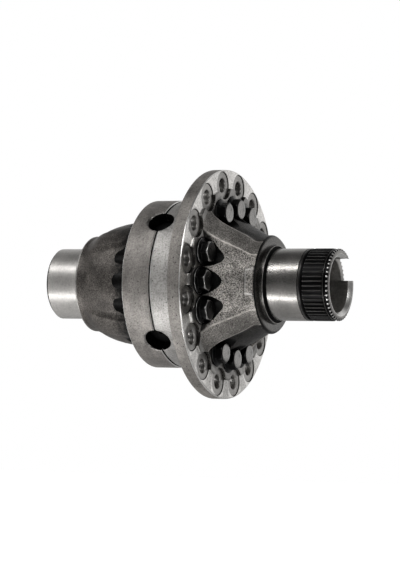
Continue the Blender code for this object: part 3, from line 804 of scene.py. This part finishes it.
def make_plain_half():
    """The left half: ring, dark bell and journal."""
    rings = rings_of([
        (SPLIT_LEFT, CAVITY_R + 0.8, 0, "turned"),
        (SPLIT_LEFT, LEFT_RING_R - 3.0, 0, "gap"),
        (SPLIT_LEFT - 0.35, LEFT_RING_R - 3.0, 0, "gap"),
        (SPLIT_LEFT - 0.35, LEFT_RING_R - 1.2, 0, "edge"),
        (SPLIT_LEFT - 1.5, LEFT_RING_R, 0.2, "ring"),
        (LEFT_RING_BACK + 1.3, LEFT_RING_R, 0, "lip"),
        (LEFT_RING_BACK, LEFT_RING_R - 1.3, 0, "ring"),
        (LEFT_RING_BACK, 97.0, 0, "dark_cast")])
    rings += bell_rings(LEFT_BELL, LEFT_ARM_ANGLES, "dark_cast")
    rings += rings_of([
        (LEFT_COLLAR_BACK - 0.8, LEFT_COLLAR_R + 0.1, 0, "dark_cast"),
        (LEFT_HUB_FACE, LEFT_COLLAR_R, 2.6, "turned"),
        (LEFT_HUB_FACE, JOURNAL_R, 0.5, "matt"),
        (LEFT_END + 3, JOURNAL_R, 0.3, "bore"),
        (LEFT_END, JOURNAL_R - 3, 0.3, "turned"),
        (LEFT_END, AXLE_BORE_R + 1.2, 0, "turned"),
        (LEFT_END + 1.2, AXLE_BORE_R, 0, "bore")] + cavity(-1, SPLIT_LEFT))
    return case_half(rings, "plain_case_half")


# ---------------------------------------------------------------- bolts

BOLT_STEPS = 60
BOLT_HEAD_HEIGHT = 12.9
HEAD_FLATS = 24.0
BOLT_FLANGE_R = 16.6
BOLT_SHANK_R = 8.0
THREAD_PITCH = 2.0
THREAD_LENGTH = 14.0
THREAD_DEPTH = 1.1


def bolt_mesh(looks):
    """A flange bolt along X: chamfered hexagon, coned flange, and a thread near its tip.

    The looks are those of its black sides, its flange rim and head chamfer (painted highlights on one copy)
    and its top (painted light on the other copy).
    """
    seat = BOLT_TOP - BOLT_HEAD_HEIGHT
    angles = np.arange(BOLT_STEPS) * 2 * pi / BOLT_STEPS
    off_flat = (np.degrees(angles) + 30) % 60 - 30
    hexagon = np.minimum(HEAD_FLATS / 2 / np.cos(np.radians(off_flat)), HEAD_FLATS / 2 * 1.125)
    top_r = HEAD_FLATS / 2 * 0.94
    chamfer_x = BOLT_TOP - (hexagon - top_r) * tan(radians(30))
    rings = [(BOLT_TIP, BOLT_SHANK_R - 1.6), (BOLT_TIP + 1.2, BOLT_SHANK_R - THREAD_DEPTH)]
    for i in range(int(THREAD_LENGTH / THREAD_PITCH * 3)):
        x = BOLT_TIP + 1.8 + i * THREAD_PITCH / 3
        wave = np.abs((x / THREAD_PITCH - angles / (2 * pi)) % 1 - 0.5) * 2
        rings.append((x, BOLT_SHANK_R - THREAD_DEPTH * wave))
    rings += [(BOLT_TIP + 3 + THREAD_LENGTH, BOLT_SHANK_R - 0.2), (seat - 0.6, BOLT_SHANK_R - 0.2),
              (seat, BOLT_SHANK_R + 0.5), (seat, 12.5), (seat + 0.25, 13.0),
              (seat + 0.25, BOLT_FLANGE_R - 0.5), (seat + 0.7, BOLT_FLANGE_R), (seat + 1.3, BOLT_FLANGE_R),
              (seat + 1.7, BOLT_FLANGE_R - 0.4), (seat + 2.9, 14.2), (seat + 3.3, hexagon + 0.35),
              (seat + 3.9, hexagon), (seat + 4.6, hexagon), (chamfer_x - 1.0, hexagon),
              (chamfer_x - 0.35, hexagon), (chamfer_x + 0.12, hexagon - 0.35),
              (BOLT_TOP - 0.12, top_r + 0.2), (BOLT_TOP, top_r - 0.3), (BOLT_TOP, top_r * 0.5)]
    chamfer = len(rings) - 5
    rim = chamfer - 7
    bm = bmesh.new()
    skins = [[bm.verts.new((x, r * cos(a), r * sin(a))) for x, r, a in np.broadcast(*ring, angles)]
             for ring in rings]
    for number, (here, there) in enumerate(zip(skins, skins[1:])):
        for i in range(BOLT_STEPS):
            face = bm.faces.new((here[i - 1], here[i], there[i], there[i - 1]))
            edge_wear_and_highlight = number in (rim, chamfer, chamfer + 1)
            face.material_index = 1 if edge_wear_and_highlight else 2 if number > chamfer else 0
    bm.faces.new(skins[0])
    bm.faces.new(skins[-1]).material_index = 2
    return mesh_from(bm, "flange_bolt", looks)


def make_bolts():
    """Twelve bolts, each where its CAD node is and turned a little differently; those at the front
    and back have highlights painted on their edges, those above and below have tops painted light.
    """
    oxide = black_steel("bolt_oxide", (0.004, 0.004, 0.0042), (0.2, 0.2, 0.2), 0.34)
    # painted highlight on the edges of the bolts at the front and back
    edge_wear_and_highlight = black_steel("bolt_edge_painted_highlight", (0.35, 0.343, 0.335), (0.6, 0.59, 0.58), 0.3)
    # painted light on the tops of the bolts above and below
    painted_light_top = turned_metal("bolt_top_painted_light", (0.3, 0.291, 0.28), (0.12, 0.116, 0.111), 0.16, 0.3, 0.4, 0.9, 0.0)
    black_top = black_steel("bolt_black_top", (0.012, 0.012, 0.0122), (0.1, 0.1, 0.1), 0.3)
    worn = bolt_mesh([oxide, oxide, painted_light_top])
    black = bolt_mesh([oxide, edge_wear_and_highlight, black_top])
    for number in range(1, len(BOLT_ANGLES) + 1):
        node = f"case_bolt_{number:02d}"
        low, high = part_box(node)
        # front and back bolts get painted highlights on their edges, those above and below get tops painted
        # light
        aside = abs(low.z + high.z) < abs(low.y + high.y)
        bolt = place_object(f"flange_bolt_{number:02d}", (black if aside else worn).data)
        bolt.location = (0, (low.y + high.y) / 2, (low.z + high.z) / 2)
        bolt.rotation_euler.x = radians(17 * number % 60)
        settle(bolt, "case", node)
    bpy.data.objects.remove(worn)
    bpy.data.objects.remove(black)


# ---------------------------------------------------------------- cross, gears and washers

CROSS_ARM_R = 15.9
CROSS_ARM_START = 18.0       # inside the hub, clear of its hole
CROSS_HUB_R = 27.0
CROSS_HUB_HALF = 15.0
CROSS_BORE_R = 9.0
DARK_TIP = 14.0              # length at the end of each arm, painted black as the shade inside the case's arm holes
MODULE = 6.0
PINION_TEETH = 12
SIDE_TEETH = 20
PRESSURE_ANGLE = radians(25)
ADDENDUM = 0.8 * MODULE
DEDENDUM = 1.0 * MODULE
BACKLASH = 0.3
GEAR_SHARP_ANGLE = 28
TOE_SCALE = 0.72             # the teeth's inner end, as a part of their outer end
PINION_TOE_FACE = 44.5
PINION_BORE_R = 16.5
PINION_BACK_R = 73.6         # the sphere of the pinions' backs
PINION_BACK_RIM_R = 34.0
SIDE_FACE_X = 19.0
SIDE_FACE_R = 36.0
SIDE_THRUST_X = 47.9
SIDE_THRUST_R = 54.5
SIDE_HUB_R = 39.5
SIDE_HUB_END = 74.0
SIDE_SPLINE_TEETH = 16
SIDE_SPLINE_TIP_R = 27.0
SIDE_SPLINE_ROOT_R = 29.5
WASHER_RADII = (74.1, 75.4)
PINION_WASHER_BORE_R = 17.2
PINION_WASHER_RIM_R = 33.0
SIDE_WASHER = (48.2, 49.7)
SIDE_WASHER_BORE_R = 40.4
SIDE_WASHER_RIM_R = 55.0


def make_cross():
    """The cross: a bored hub with four ground arms, whose ends sit in the case."""
    arm_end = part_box("spider_cross")[1].z / MM
    arm_end = sqrt(arm_end ** 2 * 2) - CROSS_ARM_R + 1.5
    looks = {
        "ground": turned_metal("cross_ground", (0.5, 0.49, 0.48), (0.36, 0.35, 0.34), 0.16, 0.3, 0.15),
        "turned": turned_metal("cross_turned", (0.3, 0.295, 0.29), (0.2, 0.195, 0.19), 0.34, 0.5, 0.3, 0.3),
        # arm ends painted black as the shade in the case's arm holes
        "end": black_steel("cross_end_painted_black", (0.004, 0.004, 0.004), (0.03, 0.03, 0.03), 0.6)}
    face = CROSS_HUB_HALF
    corners = [(-face, CROSS_BORE_R + 1, 0, "turned"), (-face, CROSS_HUB_R, 3.0, "turned"),
               (face, CROSS_HUB_R, 3.0, "turned"), (face, CROSS_BORE_R + 1, 0, "turned"),
               (face - 1, CROSS_BORE_R, 0, "ground"), (1 - face, CROSS_BORE_R, 0, "turned")]
    cross = turned_body(rings_of(corners, CROSS_HUB_STEPS, 4), "ground_cross", looks)
    corners = [(CROSS_ARM_START, 2.0, 0, "turned"), (CROSS_ARM_START, CROSS_ARM_R, 0, "turned"),
               (CROSS_HUB_R + 6, CROSS_ARM_R, 0, "ground"), (arm_end - DARK_TIP, CROSS_ARM_R, 0, "end"),
               (arm_end, CROSS_ARM_R, 1.5, "end"), (arm_end, 3.0, 0, "end"), (arm_end - 2, 2.0, 0, "end")]
    arm = rings_of(corners, CROSS_ARM_STEPS, 4)
    arms = four_round(lambda: ring_body(arm, looks))
    combine(cross, [mesh_from(arms, "cross_arms", looks.values())], "UNION")
    soften_cuts(cross, 0.3)
    settle(cross, "case", "spider_cross")


def tooth_half_angle(height, virtual_r):
    """Half a tooth's angle on the unrolled back cone, at a height over the pitch line."""
    base_r = virtual_r * cos(PRESSURE_ANGLE)
    here = acos(base_r / max(base_r, virtual_r + height))
    at_pitch = (pi * MODULE / 2 - BACKLASH) / (2 * virtual_r)
    return at_pitch + tan(PRESSURE_ANGLE) - PRESSURE_ANGLE - (tan(here) - here)


TOOTH_HEIGHTS = (-1.0, -0.82, -0.5, -0.15, 0.25, 0.6, 0.92, 1.0)     # of the dedendum and the addendum
TOOTH_POINTS = 2 * len(TOOTH_HEIGHTS)


def bevel_ring(teeth, mate_teeth, scale, finish, side=1, ease=0.0, flat=False):
    """The teeth of a bevel gear at one cone distance round X, with the apex at the origin.

    ease thins the outline all round, for a chamfer; flat gives the plain ring under the teeth.
    """
    cone = atan2(teeth, mate_teeth)
    pitch_r = teeth * MODULE / 2
    pitch_x = mate_teeth * MODULE / 2
    virtual_r = pitch_r / cos(cone)
    flank = []
    for share in TOOTH_HEIGHTS:
        height = share * (ADDENDUM if share > 0 else DEDENDUM)
        half = tooth_half_angle(height, virtual_r)
        if share == -1.0:
            half += 0.7 / virtual_r
        if share == 1.0:
            half -= 0.3 / virtual_r
        half -= ease / virtual_r
        height -= ease * max(0.0, share)
        flank.append((-DEDENDUM - 0.5 if flat else height, -half))
    outline = flank + [(h, -a) for h, a in reversed(flank)]
    heights, offsets = np.tile(np.transpose(outline), teeth)
    turns = np.repeat(np.arange(teeth), len(outline)) * 2 * pi / teeth
    places = side * scale * (pitch_x - heights * sin(cone))
    radii = scale * (pitch_r + heights * cos(cone))
    return places, radii, pi - turns - offsets / cos(cone), finish


def round_ring(like, x, radius, finish):
    """A round ring whose points stand at the angles of another."""
    return x, np.full(len(like[2]), radius), like[2], finish


def gear_teeth(teeth, mate_teeth, side=1):
    """The rings of a gear's teeth from toe to heel, with chamfered ends."""
    parts = ((TOE_SCALE, 0, True, "turned"), (TOE_SCALE, 0.5, False, "flank"),
             (TOE_SCALE + 0.012, 0, False, "flank"), (0.988, 0, False, "flank"),
             (1, 0.5, False, "turned"), (1, 0, True, "turned"))
    return [bevel_ring(teeth, mate_teeth, scale, finish, side, ease, flat)
            for scale, ease, flat, finish in parts]


def gear_looks():
    return {
        "turned": turned_metal("gear_turned", (0.3, 0.295, 0.29), (0.18, 0.177, 0.172), 0.32, 0.5, 0.3, 0.3),
        "flank": turned_metal("gear_flank", (0.36, 0.355, 0.35), (0.22, 0.215, 0.21),
                              0.24, 0.38, 0.1, 0.2, 0.0)}


def make_pinions(looks):
    """Four bevel pinions round the cross's arms, each placed where its CAD node is."""
    teeth = gear_teeth(PINION_TEETH, SIDE_TEETH)
    like = teeth[0]
    rings = [round_ring(like, PINION_TOE_FACE + 1.0, PINION_BORE_R, "turned"),
             round_ring(like, PINION_TOE_FACE, PINION_BORE_R + 1.0, "turned")] + teeth
    back = (PINION_BACK_RIM_R, PINION_BACK_RIM_R - 0.5, 30, 27, 24, 21, PINION_BORE_R + 1.2)
    rings += [round_ring(like, sqrt(PINION_BACK_R ** 2 - r ** 2) - (0.7 if i == 0 else 0), r, "turned")
              for i, r in enumerate(back)]
    bore_x = sqrt(PINION_BACK_R ** 2 - PINION_BORE_R ** 2) - 1.2
    rings.append(round_ring(like, bore_x, PINION_BORE_R, "turned"))
    for number, angle in enumerate(ARM_ANGLES, 1):
        pinion = turned_body(rings, f"bevel_pinion_{number}", looks, GEAR_SHARP_ANGLE)
        out = radial(angle)
        pinion.matrix_world = frame_at((0, 0, 0), out, AXIS, out.cross(AXIS))
        settle(pinion, f"pinion_{number}", f"pinion_{number}")


def spline_bore(x, count, finish):
    """A ring of blunt internal spline teeth."""
    angles = np.arange(count) * 2 * pi / count
    wave = np.abs((angles * SIDE_SPLINE_TEETH / (2 * pi)) % 1 - 0.5) * 2
    depth = np.clip(wave * 2.4 - 0.7, 0, 1)
    radii = SIDE_SPLINE_ROOT_R - (SIDE_SPLINE_ROOT_R - SIDE_SPLINE_TIP_R) * depth
    return x, radii, pi - angles, finish


def make_side_gears(looks):
    """Two bevel side gears, whose splined hubs turn in the case halves."""
    count = SIDE_TEETH * TOOTH_POINTS
    for name, side in (("left", -1), ("right", 1)):
        teeth = gear_teeth(SIDE_TEETH, PINION_TEETH, side)
        like = teeth[0]
        bore = spline_bore(side * (SIDE_FACE_X + 1.2), count, "turned")
        rings = [bore, round_ring(bore, side * SIDE_FACE_X, SIDE_SPLINE_ROOT_R + 1.2, "turned"),
                 round_ring(like, side * SIDE_FACE_X, SIDE_FACE_R - 1.0, "turned"),
                 round_ring(like, side * (SIDE_FACE_X + 0.8), SIDE_FACE_R, "turned")] + teeth
        outline = [(SIDE_THRUST_X - 2, SIDE_THRUST_R, 0, "turned"),
                   (SIDE_THRUST_X, SIDE_THRUST_R, 1.0, "flank"), (SIDE_THRUST_X, SIDE_HUB_R, 0.8, "flank"),
                   (SIDE_HUB_END, SIDE_HUB_R, 1.4, "turned"),
                   (SIDE_HUB_END, SIDE_SPLINE_ROOT_R + 1.5, 0, "turned")]
        rings += [round_ring(like, side * x, r, finish) for x, r, finish in rounded(outline)]
        rings.append(spline_bore(side * (SIDE_HUB_END - 1.2), count, "flank"))
        gear = turned_body(rings, f"bevel_side_gear_{name}", looks, GEAR_SHARP_ANGLE)
        settle(gear, f"{name}_side_gear", f"side_gear_{name}")


def make_washers():
    """Dished washers behind the pinions, and flat ones behind the side gears."""
    looks = {"bronze": bearing_bronze("washer_bronze")}
    near, far = WASHER_RADII
    span = np.linspace(PINION_WASHER_BORE_R + 0.3, PINION_WASHER_RIM_R - 0.3, 8)
    middle = (near + far) / 2
    dish = [(far, r) for r in span] + [(middle, PINION_WASHER_RIM_R)]
    dish += [(near, r) for r in reversed(span)] + [(middle, PINION_WASHER_BORE_R)]
    rings = [even_ring(sqrt(sphere ** 2 - r ** 2), r, WASHER_STEPS[0], "bronze") for sphere, r in dish]
    for number, angle in enumerate(ARM_ANGLES, 1):
        washer = turned_body(rings, f"dished_washer_{number}", looks)
        washer.matrix_world = turn_to(radial(angle))
        settle(washer, "case", f"pinion_washer_{number}")
    near, far = SIDE_WASHER
    corners = [(near, SIDE_WASHER_BORE_R, 0.4, "bronze"), (far, SIDE_WASHER_BORE_R, 0.4, "bronze"),
               (far, SIDE_WASHER_RIM_R, 0.4, "bronze"), (near, SIDE_WASHER_RIM_R, 0.4, "bronze")]
    for name, side in (("left", -1), ("right", 1)):
        flat = [even_ring(side * x, r, WASHER_STEPS[1], finish) for x, r, finish in rounded(corners)]
        washer = turned_body(flat, f"flat_washer_{name}", looks)
        settle(washer, "case", f"side_gear_washer_{name}")


# ---------------------------------------------------------------- stage

CAMERA_PLACE = (1.3763, -2.9203, -0.1530)
CAMERA_AIM = (0.0212, 0.0, -0.0008)
CAMERA_ROLL = 1.465
LENS = 161.07
FLOOR_Z = -0.62


def make_camera():
    place = Vector(CAMERA_PLACE)
    back = (place - Vector(CAMERA_AIM)).normalized()
    right = Vector((0, 0, 1)).cross(back).normalized()
    up = back.cross(right)
    roll = radians(CAMERA_ROLL)
    rolled_right = cos(roll) * right + sin(roll) * up
    rolled_up = cos(roll) * up - sin(roll) * right
    data = bpy.data.cameras.new("camera")
    data.lens = LENS
    data.clip_end = 60
    camera = place_object("camera", data)
    camera.matrix_world = frame_at(place, rolled_right, rolled_up, back)
    bpy.context.scene.camera = camera


def make_softbox(name, direction, distance, length, width, power):
    """A softbox that faces the object with its length along X, in metres and watts."""
    data = bpy.data.lights.new(name, "AREA")
    data.shape = "RECTANGLE"
    data.size = length
    data.size_y = width
    data.energy = power
    light = place_object(name, data)
    out = Vector(direction).normalized()
    across = (AXIS - out * out.x).normalized()
    light.matrix_world = frame_at(out * distance, across, out.cross(across), out)
    light.visible_camera = False


def make_lights():
    make_softbox("upper_strip", (-0.406, -0.575, 0.710), 1.6, 2.2, 0.14, 15)
    make_softbox("lower_strip", (-0.406, -0.646, -0.646), 0.75, 1.2, 0.07, 4)
    make_softbox("side_box_low", (0.76, -0.45, -0.46), 1.5, 0.4, 0.4, 5)
    make_softbox("side_box_high", (0.76, -0.45, 0.46), 1.5, 0.4, 0.4, 4)


def make_world():
    """A dim room with a bright screen behind, dimmer towards its top; the camera sees plain white."""
    world = bpy.data.worlds.new("studio")
    world.use_nodes = True
    bpy.context.scene.world = world
    world.node_tree.nodes.clear()
    graph = Graph(world.node_tree)

    def spread(source, low, high):
        """0 below low and 1 above high, smoothly between."""
        made = graph.node("ShaderNodeMapRange", interpolation_type="SMOOTHSTEP")
        graph.fill(made, {0: source, 1: low, 2: high})
        return made.outputs["Result"]

    def white(strength):
        made = graph.node("ShaderNodeBackground")
        graph.fill(made, {"Color": (1, 1, 1, 1), "Strength": strength})
        return made.outputs[0]

    parts = graph.node("ShaderNodeSeparateXYZ")
    graph.link(graph.node("ShaderNodeTexCoord").outputs["Generated"], parts.inputs[0])
    _, y, z = parts.outputs
    falloff = graph.times(spread(z, -0.1, 0.3), -0.4)
    screen = graph.times(spread(y, 0.25, 0.8), graph.add(falloff, 1.08))
    seen = graph.node("ShaderNodeLightPath").outputs["Is Camera Ray"]
    mix = graph.node("ShaderNodeMixShader")
    graph.fill(mix, {0: seen, 1: white(graph.add(screen, 0.1)), 2: white(1.0)})
    graph.link(mix.outputs[0], graph.node("ShaderNodeOutputWorld").inputs["Surface"])


def make_floor():
    """A pale matt floor, far enough below the object to take no hard shadow."""
    bm = bmesh.new()
    bmesh.ops.create_grid(bm, x_segments=2, y_segments=2, size=12)
    mesh = to_mesh(bm, "floor")
    floor = place_object("floor", mesh)
    floor.location.z = FLOOR_Z
    material = bpy.data.materials.new("pale_floor")
    material.use_nodes = True
    shader = material.node_tree.nodes["Principled BSDF"]
    graph = Graph(material.node_tree)
    seen = graph.node("ShaderNodeLightPath").outputs["Is Camera Ray"]
    graph.fill(shader, {"Base Color": (0.82, 0.82, 0.82, 1), "Roughness": 0.9, "Emission Color": (1, 1, 1, 1),
                        "Emission Strength": graph.math("MAXIMUM", seen, 0.08)})
    mesh.materials.append(material)


def main():
    make_case_looks()
    for half, node in ((make_flanged_half(), "case_half_flanged"), (make_plain_half(), "case_half_plain")):
        settle(half, "case", node)
    make_bolts()
    make_cross()
    looks = gear_looks()
    make_pinions(looks)
    make_side_gears(looks)
    make_washers()
    make_camera()
    make_lights()
    make_world()
    make_floor()
    bpy.context.scene.view_settings.view_transform = "Standard"


main()
